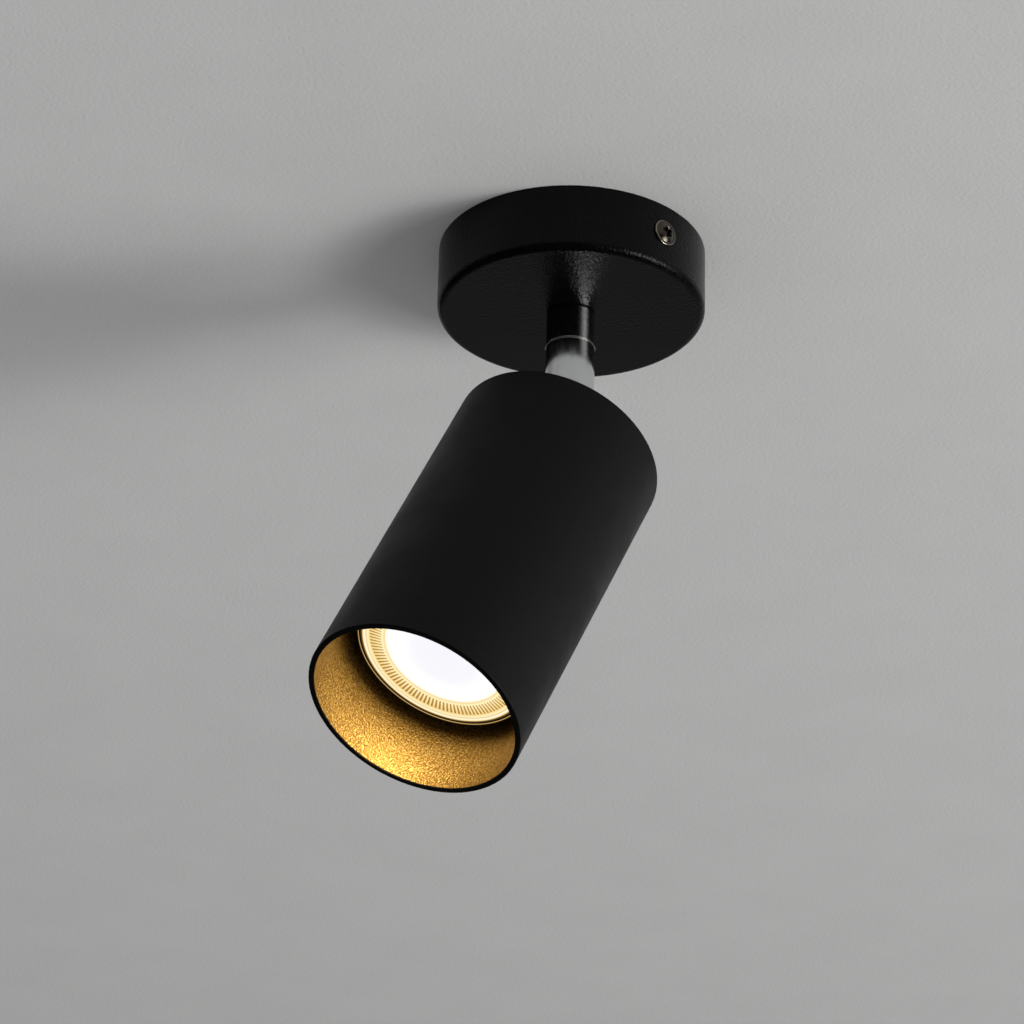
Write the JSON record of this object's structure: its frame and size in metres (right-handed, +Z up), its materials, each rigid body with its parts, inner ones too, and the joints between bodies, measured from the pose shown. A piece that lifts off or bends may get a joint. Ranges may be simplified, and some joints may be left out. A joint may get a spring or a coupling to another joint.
{
  "type": "ceiling spotlight",
  "caption": "Ceiling spotlight with a round canopy, a short turning chrome stem, a tilting knuckle and a straight black tube with a gold inside around a recessed GU10 lamp.",
  "frame": {"origin": "centre of the ceiling screws on the ceiling plane, which is the top of canopy and bracket", "axes": "+Z up into the ceiling, X through the canopy's side screws and along the tilt axis, -Y the side that the head tilts to"},
  "size_m": [0.079, 0.1181, 0.1737],
  "materials": {
    "canopy_black": "fine-textured satin black powder coat",
    "tube_black": "smooth matt black coat on aluminium",
    "textured_gold": "coarse-textured satin gold",
    "chrome": "mirror chrome plate",
    "polished_ring": "bright polished edge",
    "dark_nickel": "black nickel",
    "zinc_steel": "zinc plated",
    "brass": "plain",
    "holder_ceramic": "unglazed",
    "white_plastic": "moulded",
    "lamp_housing": "dark moulded, heat conducting",
    "lamp_lens": "clear moulded optic, lit",
    "led_board": "white board, lit",
    "live_insulation": "brown",
    "neutral_insulation": "blue",
    "earth_insulation": "green and yellow"
  },
  "bodies": {
    "base": {"canopy": "canopy_black", "ceiling_bracket": "zinc_steel", "side_screws": "dark_nickel", "terminal_block": "white_plastic", "terminal_clamps": "brass", "terminal_screws": "zinc_steel", "terminal_fixing_screws": "zinc_steel", "earth_screw": "zinc_steel", "earth_tag": "zinc_steel", "earth_lead": "earth_insulation", "live_lead": "live_insulation", "neutral_lead": "neutral_insulation", "nipple": "zinc_steel", "lock_washer": "zinc_steel", "lock_nut": "zinc_steel", "stem_sleeve": "chrome", "swivel_ring": "polished_ring", "pan_stop_pin": "zinc_steel"},
    "swivel": {"swivel_fork": "chrome", "wave_washer": "zinc_steel", "swivel_nut": "brass", "pivot_screw": "chrome", "tilt_washers": "white_plastic", "swivel_live_lead": "live_insulation", "swivel_neutral_lead": "neutral_insulation"},
    "head": {"knuckle_tongue": "chrome", "knuckle_washer": "zinc_steel", "knuckle_nut": "zinc_steel", "lead_bush": "white_plastic", "head_cap": "tube_black", "head_tube": "tube_black", "inner_sleeve": "textured_gold", "holder_bracket": "zinc_steel", "lamp_holder": "holder_ceramic", "holder_contacts": "brass", "holder_screws": "zinc_steel", "head_live_lead": "live_insulation", "head_neutral_lead": "neutral_insulation"},
    "lamp": {"lamp_body": "lamp_housing", "lamp_pins": "zinc_steel", "lamp_lens": "lamp_lens", "led_board": "led_board"}
  },
  "joints": [
    {"name": "pan", "type": "hinge", "parent": "base", "child": "swivel", "pos_m": [0, 0, -0.0311], "axis": [0, 0, 1], "range_deg": [-165, 165]},
    {"name": "tilt", "type": "hinge", "parent": "swivel", "child": "head", "pos_m": [0, 0, -0.058], "axis": [-1, 0, 0], "range_deg": [-117.6, 62.4]},
    {"name": "lamp_twist", "type": "hinge", "parent": "head", "child": "lamp", "pos_m": [0, 0, -0.058], "axis": [0, -0.4633, -0.8862], "range_deg": [0, 20]}
  ]
}
